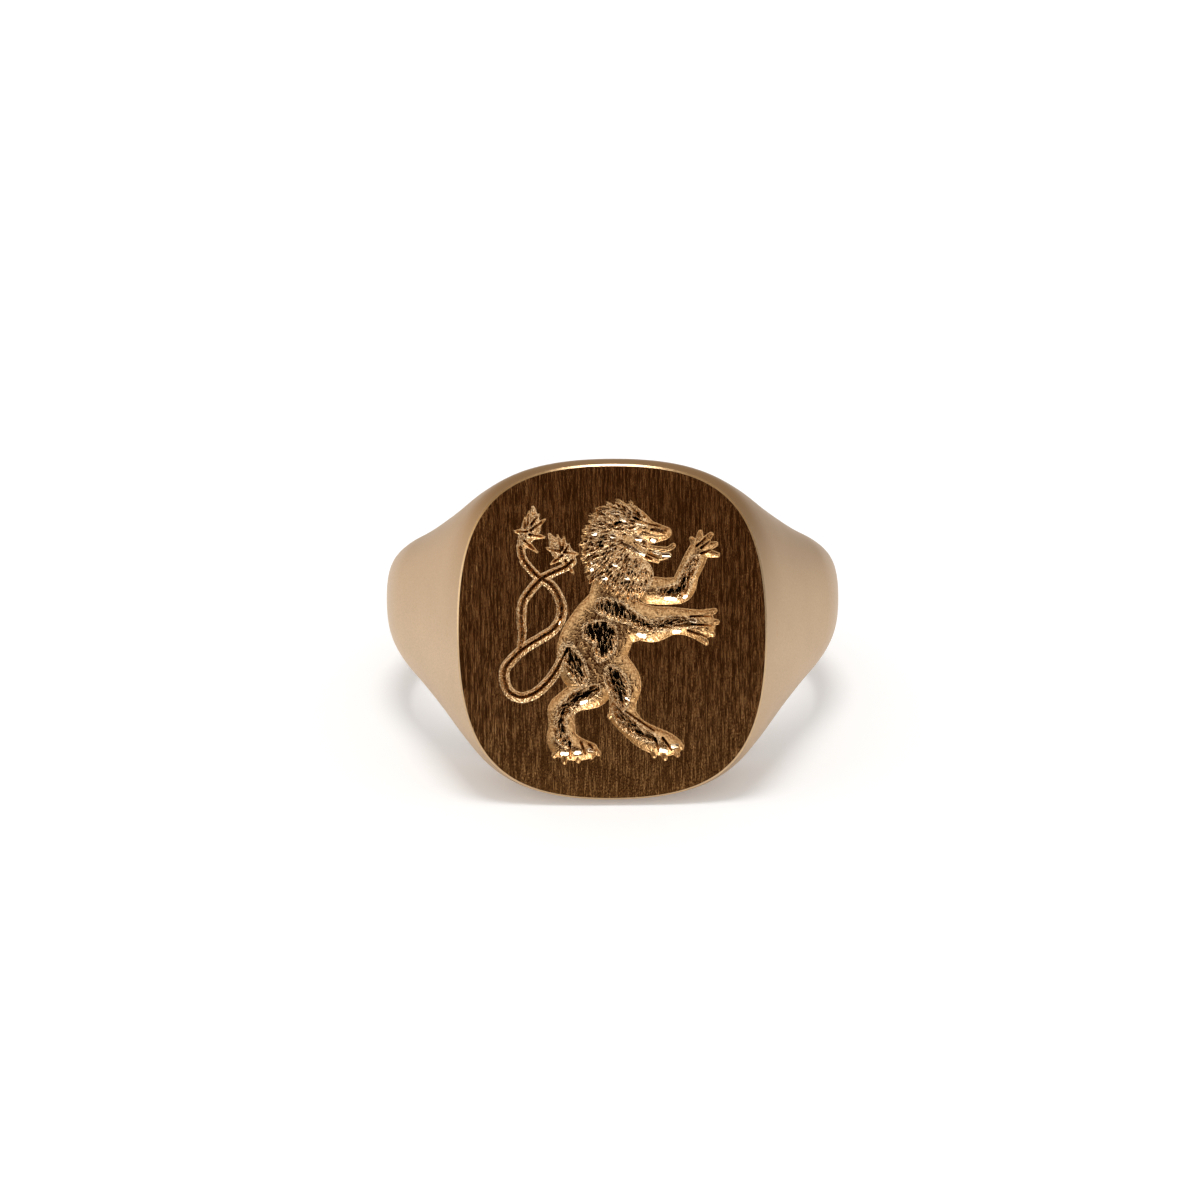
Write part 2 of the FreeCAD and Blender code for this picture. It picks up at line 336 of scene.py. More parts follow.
# %% [markdown]
# ## Drawing the lion
#
# An engraver first scratches the figure's outline into the plate, then cuts each limb as a trough.
# Here a limb is a path of (x, z, half width) points in millimetres, drawn from the front of the
# seal: the lion rears up to the right with its mouth open, and its tail forks, crosses itself and
# ends in two tufts. Paths are shorter to write than outlines and easy to bend, and where two of them
# overlap they melt into one body.

# %% Draw the body, limbs and tail
BODY_STROKES = {
    "mane": [
        (-0.19, 5.17, 0.6), (-0.33, 4.25, 0.87), (-0.1, 3.33, 1.01), (0.45, 2.77, 1.15),
        (0.95, 2.59, 0.96)],
    "skull": [
        (0.31, 5.31, 0.6), (0.95, 5.08, 0.69), (1.62, 4.76, 0.46), (2.15, 4.64, 0.35),
        (2.5, 4.6, 0.26)],
    "lip": [(1.4, 4.5, 0.34), (2.0, 4.42, 0.26), (2.45, 4.43, 0.15)],
    "mouth": [(1.15, 4.15, 0.45), (1.55, 3.98, 0.26)],
    "tongue": [(1.6, 3.95, 0.11), (2.2, 3.86, 0.1), (2.62, 3.86, 0.1), (2.84, 4.0, 0.11)],
    "jaw": [(0.77, 4.02, 0.6), (1.4, 3.7, 0.32), (2.0, 3.5, 0.21), (2.6, 3.54, 0.13)],
    "chin": [(1.6, 3.55, 0.22), (2.16, 3.26, 0.06)],
    "trunk": [
        (0.17, 1.99, 1.1), (-0.01, 1.25, 1.15), (-0.47, 0.15, 1.51), (-0.97, -0.87, 1.56),
        (-1.15, -1.6, 1.28)],
    "chest": [(0.4, 0.98, 0.92), (0.86, 0.33, 0.78)],
    "raised_arm": [
        (1.77, 1.95, 0.63), (2.59, 1.9, 0.61), (3.15, 1.98, 0.6), (3.51, 2.72, 0.5), (3.8, 3.32, 0.51),
        (4.02, 3.8, 0.46)],
    "near_arm": [
        (0.04, 1.25, 0.64), (0.86, 0.79, 0.73), (1.77, 0.38, 0.83), (2.68, 0.52, 0.64),
        (3.42, 0.47, 0.6), (4.05, 0.33, 0.69)],
    "rear_thigh": [
        (-1.06, -1.79, 1.1), (-0.88, -2.62, 0.83), (-1.65, -2.99, 0.64), (-2.34, -3.45, 0.55)],
    "rear_shin": [
        (-2.38, -3.63, 0.6), (-2.34, -4.37, 0.6), (-2.29, -5.06, 0.69), (-1.7, -5.38, 0.55),
        (-1.06, -5.47, 0.37)],
    "front_thigh": [(0.04, -1.6, 0.83), (0.54, -2.43, 0.78), (0.49, -3.08, 0.64), (0.45, -3.77, 0.6)],
    "front_foot": [
        (0.45, -3.82, 0.6), (1.04, -4.51, 0.55), (1.77, -4.97, 0.6), (2.41, -5.2, 0.55),
        (2.82, -5.29, 0.37)],
    "heel": [(0.2, -3.8, 0.28), (-0.12, -3.9, 0.12)],
    "tail": [
        (-2.06, -0.77, 0.32), (-2.34, -1.33, 0.23), (-2.66, -1.88, 0.23), (-3.11, -2.43, 0.23),
        (-3.66, -2.85, 0.23), (-4.21, -2.99, 0.23), (-4.71, -2.76, 0.23), (-4.94, -2.25, 0.23),
        (-4.94, -1.7, 0.23), (-4.62, -1.24, 0.23), (-3.94, -0.64, 0.23), (-3.25, -0.22, 0.23),
        (-2.7, 0.15, 0.23), (-2.38, 0.61, 0.23), (-2.29, 1.16, 0.23), (-2.47, 1.76, 0.21),
        (-2.79, 2.22, 0.21), (-3.34, 2.59, 0.18), (-3.75, 3, 0.18), (-4.07, 3.47, 0.18),
        (-4.16, 3.97, 0.18)],
    "tail_fork": [
        (-4.21, -0.77, 0.14), (-4.12, -0.04, 0.18), (-4.16, 0.79, 0.21), (-4.07, 1.44, 0.21),
        (-3.75, 1.94, 0.21), (-3.21, 2.5, 0.21), (-2.61, 2.82, 0.18), (-2.02, 3.1, 0.18),
        (-1.79, 3.33, 0.18)],
    "left_tuft": [
        (-4.16, 3.93, 0.18), (-3.94, 4.39, 0.32), (-3.66, 4.85, 0.41), (-3.53, 5.4, 0.18),
        (-3.57, 5.82, 0.05)],
    "right_tuft": [
        (-1.79, 3.28, 0.18), (-2.06, 3.56, 0.37), (-2.38, 3.88, 0.41), (-2.66, 4.25, 0.18),
        (-2.84, 4.57, 0.05)],
}
print(f"{len(BODY_STROKES)} strokes")

# %% [markdown]
# ## Claws, flames and tips of the mane
#
# A graver that is pushed in and lifted out leaves a drop: round where it went in, pointed where it
# came out. Claws, the flames of the tufts and the tips of the mane are such drops. Each is a root, a
# tip and half the width at the root.

# %% Draw the drops
DROPS = {
    "left_tuft": [
        (-3.71, 4.71, -3.02, 5.26, 0.23), (-3.75, 4.53, -3.02, 4.43, 0.23),
        (-3.84, 4.66, -4.44, 4.71, 0.23), (-3.94, 4.85, -3.94, 5.35, 0.18),
        (-3.98, 4.25, -3.39, 3.74, 0.18), (-3.66, 4.99, -3.3, 5.49, 0.18),
        (-3.84, 4.94, -3.75, 5.63, 0.18)],
    "right_tuft": [
        (-2.29, 3.79, -2.47, 4.53, 0.23), (-2.25, 3.79, -2.16, 4.43, 0.23),
        (-2.16, 3.7, -1.52, 3.65, 0.23), (-2.34, 3.74, -2.98, 3.93, 0.23),
        (-2.25, 3.56, -2.79, 3.19, 0.18), (-2.11, 3.33, -1.74, 2.73, 0.18),
        (-2.11, 3.79, -1.93, 4.11, 0.18)],
    "raised_claws": [
        (3.98, 4.0, 4.08, 4.6, 0.24), (4.15, 4.05, 4.56, 4.5, 0.24), (4.24, 3.9, 4.78, 4.06, 0.24),
        (4.15, 3.7, 4.86, 3.56, 0.24), (3.9, 3.9, 3.68, 4.3, 0.2)],
    "near_claws": [
        (4.2, 0.78, 4.72, 0.98, 0.25), (4.3, 0.44, 4.82, 0.45, 0.25), (4.2, 0.1, 4.62, -0.12, 0.25),
        (3.95, -0.12, 4.32, -0.5, 0.24)],
    "rear_claws": [
        (-2.5, -5.45, -2.7, -5.7, 0.25), (-2.2, -5.5, -2.24, -6.0, 0.26),
        (-1.7, -5.5, -1.6, -5.95, 0.26), (-1.25, -5.38, -0.98, -5.76, 0.25),
        (-1.0, -5.34, -0.66, -5.62, 0.22)],
    "front_claws": [
        (1.8, -5.2, 1.9, -5.74, 0.24), (2.26, -5.36, 2.4, -5.86, 0.25), (2.66, -5.3, 2.98, -5.7, 0.25),
        (2.76, -5.1, 3.16, -5.36, 0.24)],
    "mane_tips": [
        (-0.51, 5.31, -0.8, 5.34, 0.14), (-0.83, 4.76, -1.15, 4.76, 0.14),
        (-0.97, 4.06, -1.3, 4.11, 0.14), (-0.97, 3.56, -1.25, 3.47, 0.14),
        (-0.88, 3.1, -1.1, 2.9, 0.14), (-0.79, 2.64, -0.98, 2.36, 0.14),
        (0.04, 5.77, -0.16, 5.95, 0.12), (0.49, 5.8, 0.42, 6.0, 0.12), (0.95, 5.7, 0.93, 5.92, 0.1)],
}
print(f"{sum(map(len, DROPS.values()))} drops")

# %% [markdown]
# ## Pockets, lines and glints
#
# A pocket is a deeper place inside a limb. It has how much deeper it goes, the direction of the fur
# in it in degrees, and a path. Lines are thin cuts, such as those between the toes and round the eye.
# A glint is a small flat facet, cut last with a whetted graver: on the teeth, the jaw, the paws and
# here and there in the mane. Lines and glints are short paths like the limbs.

# %% Mark the pockets, lines and glints
POCKETS = {
    "shoulder": (0.36, -80, [
        (-0.4, 1.2, 0.36), (0.2, 0.98, 0.42), (0.8, 0.68, 0.3), (1.6, 0.28, 0.16)]),
    "ribs": (0.42, -88, [
        (-0.97, 0.0, 0.4), (-0.38, -0.1, 0.56), (-0.35, -0.68, 0.46), (-0.6, -1.25, 0.12)]),
    "hip": (0.4, -75, [(-1.97, -0.95, 0.28), (-1.75, -1.5, 0.42), (-1.42, -2.15, 0.3)]),
    "rear_thigh": (0.38, -140, [(-0.79, -2.68, 0.22), (-1.52, -3.05, 0.36), (-2.25, -3.6, 0.32)]),
    "rear_shin": (0.38, -92, [(-2.34, -3.82, 0.2), (-2.38, -4.74, 0.3), (-2.1, -5.2, 0.2)]),
    "front_thigh": (0.44, -62, [
        (-0.1, -1.83, 0.24), (0.17, -2.34, 0.46), (0.42, -3.05, 0.32), (0.45, -3.5, 0.14)]),
    "front_foot": (0.36, -48, [
        (0.1, -3.4, 0.18), (0.49, -4.05, 0.28), (1.32, -4.72, 0.25), (2.0, -5.05, 0.14)]),
    "raised_arm": (0.38, 70, [
        (2.27, 1.81, 0.2), (3.14, 1.95, 0.32), (3.5, 2.7, 0.26), (3.82, 3.3, 0.22)]),
    "near_arm": (0.36, 4, [(1.1, 0.4, 0.16), (1.86, 0.26, 0.24), (2.96, 0.42, 0.28), (3.7, 0.38, 0.2)]),
    "mouth": (0.34, 160, [(1.38, 4.24, 0.08), (1.5, 4.05, 0.13), (1.56, 3.82, 0.06)]),
    "cheek": (0.26, -60, [(0.95, 4.5, 0.07), (1.2, 4.38, 0.09), (1.4, 4.3, 0.05)]),
    "eye": (0.24, 0, [(1.1, 5.12, 0.05), (1.35, 5.02, 0.1), (1.58, 4.88, 0.05)]),
}
LINES = [
    [(1.84, 4.72, 0.06), (2.5, 4.66, 0.05)], [(1.0, 5.28, 0.05), (1.3, 5.16, 0.05), (1.62, 5.0, 0.04)],
    [(1.7, 4.98, 0.04), (2.2, 4.88, 0.04)], [(1.0, 5.5, 0.04), (1.4, 5.3, 0.03)],
    [(0.2, 5.0, 0.08), (0.5, 5.1, 0.05)], [(0.49, 4.1, 0.05), (1.13, 3.7, 0.06), (1.85, 3.38, 0.04)],
    [(1.45, 4.6, 0.04), (1.75, 4.52, 0.03)], [(1.75, 3.78, 0.04), (2.5, 3.72, 0.04)],
    [(1.65, 3.6, 0.03), (2.1, 3.42, 0.03)], [(1.8, 4.3, 0.04), (2.1, 4.26, 0.03)],
    [(-1.98, -5.15, 0.06), (-1.95, -5.8, 0.04)], [(-1.48, -5.1, 0.06), (-1.28, -5.65, 0.04)],
    [(-1.1, -5.2, 0.05), (-0.85, -5.5, 0.03)], [(1.95, -4.98, 0.06), (2.14, -5.55, 0.04)],
    [(2.3, -4.95, 0.06), (2.68, -5.48, 0.04)], [(0.6, -3.7, 0.05), (1.9, -4.6, 0.04)],
    [(3.6, 0.68, 0.06), (4.55, 0.72, 0.04)], [(3.7, 0.3, 0.06), (4.55, 0.28, 0.04)],
    [(3.5, 0.05, 0.05), (4.3, -0.24, 0.04)], [(3.9, 3.95, 0.06), (4.3, 4.3, 0.04)],
    [(4.1, 3.85, 0.06), (4.55, 4.22, 0.04)], [(4.1, 3.6, 0.06), (4.6, 3.8, 0.04)],
]
GLINTS = [
    [(0.02, 5.52, 0.07), (0.34, 5.5, 0.09)], [(1.2, 5.04, 0.1), (1.5, 4.96, 0.08)],
    [(0.38, 5.2, 0.07), (0.6, 5.1, 0.06)], [(2.0, 4.72, 0.07), (2.45, 4.6, 0.06)],
    [(0.02, 4.42, 0.1), (0.16, 4.4, 0.08)], [(-0.85, 4.53, 0.08), (-0.72, 4.52, 0.08)],
    [(1.17, 4.32, 0.11), (1.34, 4.26, 0.1)], [(1.87, 4.24, 0.09), (2.0, 4.2, 0.08)],
    [(0.62, 4.02, 0.08), (1.0, 3.8, 0.11)], [(1.0, 3.8, 0.11), (1.5, 3.54, 0.07)],
    [(1.96, 3.7, 0.08), (2.12, 3.66, 0.1)], [(2.38, 3.58, 0.11), (2.66, 3.54, 0.1)],
    [(-0.92, 3.2, 0.08), (-0.8, 3.16, 0.08)], [(-0.98, 2.92, 0.08), (-0.88, 2.9, 0.08)],
    [(-0.4, 2.5, 0.09), (-0.26, 2.46, 0.09)], [(-0.08, 3.85, 0.07), (0.1, 3.8, 0.06)],
    [(3.62, 0.5, 0.1), (3.8, 0.46, 0.09)], [(0.1, 3.1, 0.07), (0.22, 3.04, 0.07)],
    [(0.62, 2.5, 0.07), (0.76, 2.42, 0.07)], [(2.5, 1.55, 0.1), (2.9, 1.5, 0.09)],
    [(3.3, 1.58, 0.07), (3.45, 1.66, 0.06)], [(1.2, -0.12, 0.09), (1.5, -0.22, 0.1)],
    [(2.85, 0.0, 0.08), (3.1, 0.02, 0.07)], [(-1.45, -3.3, 0.08), (-1.2, -3.2, 0.08)],
    [(0.62, -3.1, 0.07), (0.76, -3.14, 0.07)], [(-2.35, -5.62, 0.09), (-2.1, -5.66, 0.08)],
    [(-1.72, -5.62, 0.09), (-1.55, -5.6, 0.09)], [(-1.1, -5.5, 0.08), (-0.95, -5.5, 0.08)],
    [(2.2, -5.5, 0.09), (2.42, -5.55, 0.09)], [(2.75, -5.35, 0.1), (3.0, -5.3, 0.08)],
    [(-2.42, 0.4, 0.06), (-2.36, 0.52, 0.06)],
]
print(f"{len(POCKETS)} pockets, {len(LINES)} lines, {len(GLINTS)} glints")

# %% [markdown]
# ## From strokes to a depth map
#
# The cut is described as a height field: a fine grid over the seal, and how far each of its points
# lies under the face. For every stroke the grid learns how far inside the stroke it is. The walls
# then fall off at the angle of the graver and level out at the floor, as a real trough does. A
# height field suits an engraving, because a graver can't undercut, and it is quick to work out with
# numpy.

# %% Helpers for the depth map
GRID, FAR_OUTSIDE = 0.027, -1.0
grid_x = np.arange(-5.45, 5.35, GRID)
grid_z = np.arange(-6.45, 6.4, GRID)
plane_x, plane_z = grid_x[:, None], grid_z[None, :]


def window(x0, x1, z0, z1):
    """Slices of the grid that cover a rectangle."""
    i0, i1 = np.searchsorted(grid_x, (x0, x1))
    j0, j1 = np.searchsorted(grid_z, (z0, z1))
    return slice(max(i0 - 1, 0), i1 + 1), slice(max(j0 - 1, 0), j1 + 1)


def raise_to(field, ends, halves, value=None):
    """Raises field to how far inside a tapered stroke segment each point is, or to value(inside)."""
    (x0, z0), (x1, z1) = ends
    reach = max(halves)
    spot = window(min(x0, x1) - reach, max(x0, x1) + reach, min(z0, z1) - reach, max(z0, z1) + reach)
    x, z = grid_x[spot[0]][:, None], grid_z[spot[1]][None, :]
    dx, dz = x1 - x0, z1 - z0
    t = np.clip(((x - x0) * dx + (z - z0) * dz) / (dx * dx + dz * dz), 0, 1)
    inside = halves[0] + (halves[1] - halves[0]) * t - np.hypot(x - x0 - t * dx, z - z0 - t * dz)
    if value is not None:
        inside = value(inside)
    field[spot] = np.maximum(field[spot], inside)


def smooth_path(path, steps=6):
    """A path with more points, on a curve that passes through every given one."""
    path = np.array(path, float)
    along = np.concatenate([[0], np.cumsum(np.hypot(*np.diff(path[:, :2], axis=0).T))])
    at = np.concatenate([np.linspace(a, b, steps, endpoint=False) for a, b in zip(along, along[1:])])
    at = np.append(at, along[-1])
    return np.stack([smooth_curve(at, along, path[:, k]) for k in range(3)], 1)


def inside_of(paths):
    """How far inside a set of strokes each grid point lies, negative outside."""
    field = np.full((len(grid_x), len(grid_z)), FAR_OUTSIDE)
    for path in paths:
        points = smooth_path(path)
        for p, q in zip(points, points[1:]):
            raise_to(field, (p[:2], q[:2]), (p[2], q[2]))
    return field


def trough(inside, depth, slope):
    """Depth of a cut whose walls start at a slope and level out at its floor."""
    return depth * (1 - np.exp(-np.maximum(inside, 0) * slope / depth))


print(f"grid of {len(grid_x)} by {len(grid_z)} points, {GRID} mm apart")

# %% [markdown]
# ## Cutting the lion
#
# The whole figure is sunk first, with one sloping wall round its outline. Round the head the outline
# is broken by small wisps of hair that stream away from the face. Then come the thin lines, with one
# down each flame of the tufts and one along the tail. What is drawn by chance comes from a fixed
# seed, so the ring is the same each time.

# %% Find the head and its wisps
BLUNT_TIP, SHARP_TIP, WISP_TIP = 0.11, 0.03, 0.015
WISPS, WISP_HALF, WISP_REACH, WISP_STRAY = 90, 0.055, (0.1, 0.24), 0.3
FACE_X, FACE_Z = 2.0, 4.6
BEARD_TOP, BEARD_TURN = 4.2, 0.25
MUZZLE_X, MUZZLE_Z, CLEAR_OF_MUZZLE, BROW_X = 1.9, 4.3, 1.5, 1.2
SHOULDER_X, SHOULDER_Z, ARM_FALL = -0.56, 2.3, 0.56
dice = np.random.default_rng(7)


def away_from_face(x, z):
    """Direction in which the hair grows; the beard hangs a little towards the chest."""
    return math.atan2(z - FACE_Z, x - FACE_X) + BEARD_TURN * (z < BEARD_TOP)


mane_tips = [[(x0, z0, half), (x1, z1, SHARP_TIP)] for x0, z0, x1, z1, half in DROPS["mane_tips"]]
head = inside_of([BODY_STROKES["mane"], BODY_STROKES["trunk"][:2], BODY_STROKES["skull"][:2]] + mane_tips)
above_arm = plane_z > SHOULDER_Z - ARM_FALL * (plane_x - SHOULDER_X)
from_muzzle = np.hypot(plane_x - MUZZLE_X, plane_z - MUZZLE_Z)
hem = np.argwhere((np.abs(head) < GRID) & above_arm & (from_muzzle > CLEAR_OF_MUZZLE) & (plane_x < BROW_X))
wisps = []
for i, j in hem[dice.integers(len(hem), size=WISPS)]:
    x, z = grid_x[i], grid_z[j]
    angle = away_from_face(x, z) + dice.normal(0, WISP_STRAY)
    reach = dice.uniform(*WISP_REACH)
    wisps.append([(x, z, WISP_HALF), (x + reach * math.cos(angle), z + reach * math.sin(angle), WISP_TIP)])
print(f"{len(wisps)} wisps on {len(hem)} points of the mane's hem")

# %% Sink the figure and cut its lines
OUTLINE_DEPTH, OUTLINE_SLOPE = 0.35, 1.15
LINE_DEPTH, LINE_SLOPE, TAIL_LINE = 0.7, 9, 0.062
FLAME_LINE, FLAME_LINE_END, FLAME_LINE_SHARE = 0.06, 0.03, 0.75

drops, thin_lines = [], list(LINES)
for group, members in DROPS.items():
    tip = BLUNT_TIP if group.endswith("claws") else SHARP_TIP
    for x0, z0, x1, z1, half in members:
        drops.append([(x0, z0, half), (x1, z1, tip)])
        if group.endswith("tuft"):
            end = (x0 + FLAME_LINE_SHARE * (x1 - x0), z0 + FLAME_LINE_SHARE * (z1 - z0), FLAME_LINE_END)
            thin_lines.append([(x0, z0, FLAME_LINE), end])
for name in ("tail", "tail_fork"):
    thin_lines.append([(x, z, TAIL_LINE) for x, z, _ in BODY_STROKES[name]])
figure = inside_of(list(BODY_STROKES.values()) + drops + wisps)
depth = trough(figure, OUTLINE_DEPTH, OUTLINE_SLOPE)
depth += trough(inside_of(thin_lines), LINE_DEPTH, LINE_SLOPE)
print(f"figure covers {100 * (figure > 0).mean():.0f} % of the grid, {len(thin_lines)} thin lines")

# %% [markdown]
# ## Fur, mane and facets
#
# Pockets for the shoulder, ribs, hips and limbs go deeper and leave smooth bands between them, which
# is what makes the muscles. Inside the pockets thin strands of fur are left standing. The mane is the
# other way round: hundreds of short nicks that stream away from the face. Each kind is a few numbers,
# and one function lays it along a flow of directions. The glints come last, as flat planes that lean
# back just enough to catch the light from above. Two masks remember where the metal is combed and
# where it is a facet, because these places get finishes of their own.

# %% Leave fur standing in the pockets
POCKET_SLOPE, FUR_MARGIN, COMB_MARGIN = 2.4, 0.05, 0.1
# strands per square millimetre, length, half width and height
FUR, COAT = (42, 0.34, 0.042, 0.46), (7, 0.26, 0.04, 0.06)
LOCKS, NICKS = (22, 0.3, 0.1, 0.12), (28, 0.26, 0.042, 0.3)
STRAND_STRAY, STRAND_TAPER = 0.22, 0.4
LENGTHS, WIDTHS, HEIGHTS = (0.6, 1.4), (0.75, 1.3), (0.6, 1.3)


def strands(region, flow, per_mm2, length, half, height):
    """Short tapered strokes spread over a region, laid along a flow of directions."""
    field = np.zeros_like(depth)
    spots = np.argwhere(region)
    count = int(len(spots) * GRID**2 * per_mm2)
    for i, j in spots[dice.integers(len(spots), size=count)]:
        x, z = grid_x[i], grid_z[j]
        angle = flow(x, z) + dice.normal(0, STRAND_STRAY)
        reach = length * dice.uniform(*LENGTHS)
        end = (x + reach * math.cos(angle), z + reach * math.sin(angle))
        wide, tall = half * dice.uniform(*WIDTHS), height * dice.uniform(*HEIGHTS)
        raise_to(field, ((x, z), end), (wide, wide * STRAND_TAPER),
                 lambda inside: tall * np.clip(inside / wide, 0, 1))
    return field


combed = np.zeros_like(depth, bool)
for pocket_depth, direction, path in POCKETS.values():
    pocket = inside_of([path])
    combed |= pocket > -COMB_MARGIN
    fur = strands(pocket > -FUR_MARGIN, lambda x, z: math.radians(direction), *FUR)
    depth += np.maximum(trough(pocket, pocket_depth, POCKET_SLOPE) - fur, 0)
print(f"{100 * combed.sum() / (figure > 0).sum():.0f} % of the figure is pockets")

# %% Comb the mane and cut the facets
MANE_EDGE, MANE_TO_MUZZLE, COMB_TO_MUZZLE = 0.04, 0.95, 0.8
COAT_EDGE, COAT_FLOW, COAT_SWAY, COAT_WAVE = 0.12, -1.4, 0.3, 1.3
FACET_SLOPE = 0.86


def down_the_body(x, z):
    """Direction of the coat, which sways a little on its way down."""
    return COAT_FLOW + COAT_SWAY * math.sin(COAT_WAVE * z)


mane = (head > MANE_EDGE) & above_arm & (from_muzzle > MANE_TO_MUZZLE)
depth += strands(mane, away_from_face, *LOCKS)
depth += strands(mane, away_from_face, *NICKS)
hairy = [BODY_STROKES[name] for name in ("tail", "tail_fork", "left_tuft", "right_tuft")]
combed |= ((head > 0) & above_arm & (from_muzzle > COMB_TO_MUZZLE)) | (inside_of(hairy) > -FUR_MARGIN)
coat = (figure > COAT_EDGE) & ~mane & ~((head > 0) & above_arm)
depth += strands(coat, down_the_body, *COAT)

facets = np.zeros_like(depth, bool)
for start, end in GLINTS:
    facet = inside_of([[start, end]]) > 0
    middle = (start[1] + end[1]) / 2
    depth = np.where(facet, depth[facet].mean() + FACET_SLOPE * (plane_z - middle), depth)
    facets |= facet
depth = np.where(figure > 0, np.maximum(depth, 0), 0)
print(f"deepest cut {depth.max():.2f} mm")

# %% [markdown]
# ## The seal plate
#
# Only the figure needs the fine grid. The flat round it is filled with plain triangles between the
# grid's ragged border and the plate's outline, which keeps the piece light. The rim is a small flat
# bevel, the side wall follows the head's outline down to the solder, and a cap closes the back. Each
# face remembers its finish as a material slot.

# %% Helpers for the plate
BRUSHED, ENGRAVED, COMBED, FACETED, SATIN, POLISHED = range(6)
PLATE_RINGS, FLAT_STEPS = 8, 4


def figure_cells():
    """Grid cells that hold the figure, with a little of the flat face round them."""
    cut = depth > 0
    for _ in range(FLAT_STEPS):
        wide = np.pad(cut, 1)
        cut = cut | wide[2:, 1:-1] | wide[:-2, 1:-1] | wide[1:-1, 2:] | wide[1:-1, :-2]
    return cut[:-1, :-1] & cut[1:, :-1] & cut[:-1, 1:] & cut[1:, 1:]


def border_edges(cells):
    """Edges of the grid that have a figure cell on one side only, as pairs of grid points."""
    wide = np.pad(cells, 1)
    edges = []
    for i, j in np.argwhere(wide[1:, 1:-1] != wide[:-1, 1:-1]):
        edges.append(((i, j), (i, j + 1)))
    for i, j in np.argwhere(wide[1:-1, 1:] != wide[1:-1, :-1]):
        edges.append(((i, j), (i + 1, j)))
    return edges


def corners_of(field, i, j):
    """The values of a field at the four corners of grid cells."""
    return np.stack([field[i, j], field[i + 1, j], field[i + 1, j + 1], field[i, j + 1]], 1)


def engraved_grid(cells):
    """Points, quads and finishes of the figure's grid, and the number of each grid point."""
    used = np.zeros_like(depth, bool)
    for di in (0, 1):
        for dj in (0, 1):
            used[di:len(grid_x) - 1 + di, dj:len(grid_z) - 1 + dj] |= cells
    number = np.full(depth.shape, -1)
    number[used] = np.arange(used.sum())
    i, j = np.nonzero(used)
    points = np.stack([grid_x[i], depth[i, j] - FACE, grid_z[j]], 1)
    i, j = np.nonzero(cells)
    cut = np.where(facets[i, j], FACETED, np.where(combed[i, j], COMBED, ENGRAVED))
    slots = np.where(corners_of(depth, i, j).max(1) > 0, cut, BRUSHED)
    return points, corners_of(number, i, j).tolist(), slots.tolist(), number


def flat_round(cells, number, rim, first):
    """Triangles of the flat face between the figure's ragged border and the rim of the plate."""
    border = border_edges(cells)
    names = sorted({p for edge in border for p in edge})
    place = {p: n for n, p in enumerate(names)}
    flat = [Vector((grid_x[i], grid_z[j])) for i, j in names] + [Vector((p[0], p[2])) for p in rim]
    links = [(place[a], place[b]) for a, b in border]
    links += [(len(names) + i, len(names) + (i + 1) % len(rim)) for i in range(len(rim))]
    original = [int(number[p]) for p in names] + [first + i for i in range(len(rim))]
    made, _, triangles, source, _, _ = delaunay_2d_cdt(flat, links, [], 0, 1e-6)
    kept = []
    for triangle in triangles:
        middle = sum((made[v] for v in triangle), Vector((0, 0))) / 3
        i = int(math.floor((middle.x - grid_x[0]) / GRID))
        j = int(math.floor((middle.y - grid_z[0]) / GRID))
        in_grid = 0 <= i < cells.shape[0] and 0 <= j < cells.shape[1]
        if not (in_grid and cells[i, j]):
            kept.append([original[source[v][0]] for v in triangle])
    return kept


# %% Build the plate
BACK_EDGE = math.radians(60)


def plate_mesh():
    """Points, faces and finishes of the plate: figure, flat, bevel, side wall and back."""
    cells = figure_cells()
    points, faces, slots, number = engraved_grid(cells)
    rings = [cushion_ring(SEAL_HALF_WIDTH, SEAL_HALF_HEIGHT, SEAL_FULLNESS, -FACE)]
    rings += [body_ring(d) for d in np.linspace(RIM_BEVEL, FACE - PLATE_BACK, PLATE_RINGS)]
    around, first = len(rings[0]), len(points)
    flat = flat_round(cells, number, rings[0], first)
    faces += flat
    slots += [BRUSHED] * len(flat)
    for ring in range(len(rings) - 1):
        new = ring_faces(first + ring * around, first + (ring + 1) * around, around)
        faces += new
        slots += [POLISHED if ring == 0 else SATIN] * len(new)
    faces.append(tuple(first + (len(rings) - 1) * around + i for i in range(around)))
    slots.append(SATIN)
    return np.concatenate([points] + rings), faces, slots


def build_plate():
    """The plate as a smooth piece that is sharp along its bevel and its back edge."""
    points, faces, slots = plate_mesh()
    piece = mesh_piece("seal_plate_form", points, faces)
    mesh = piece.data
    mesh.polygons.foreach_set("material_index", slots)
    work = bmesh.new()
    work.from_mesh(mesh)
    bmesh.ops.recalc_face_normals(work, faces=work.faces)
    for edge in work.edges:
        kinds = {face.material_index for face in edge.link_faces}
        on_bevel = POLISHED in kinds and len(kinds) == 2
        on_back = kinds == {SATIN} and edge.calc_face_angle() > BACK_EDGE
        edge.smooth = not (on_bevel or on_back)
    work.to_mesh(mesh)
    work.free()
    mesh.polygons.foreach_set("use_smooth", [True] * len(mesh.polygons))
    return piece


pieces["seal_plate"] = build_plate()
print(f"seal plate: {len(pieces['seal_plate'].data.polygons)} faces")

# %% [markdown]
# ## Shader arithmetic
#
# Materials are graphs of nodes. Wiring them by hand hides what they say, so a small class wraps a
# socket and lets Python's own operators add the Math nodes: `1 - mask * 0.5` reads as it computes.
# Any other kind of node comes from one method, which sets the node's options first and then its
# sockets.

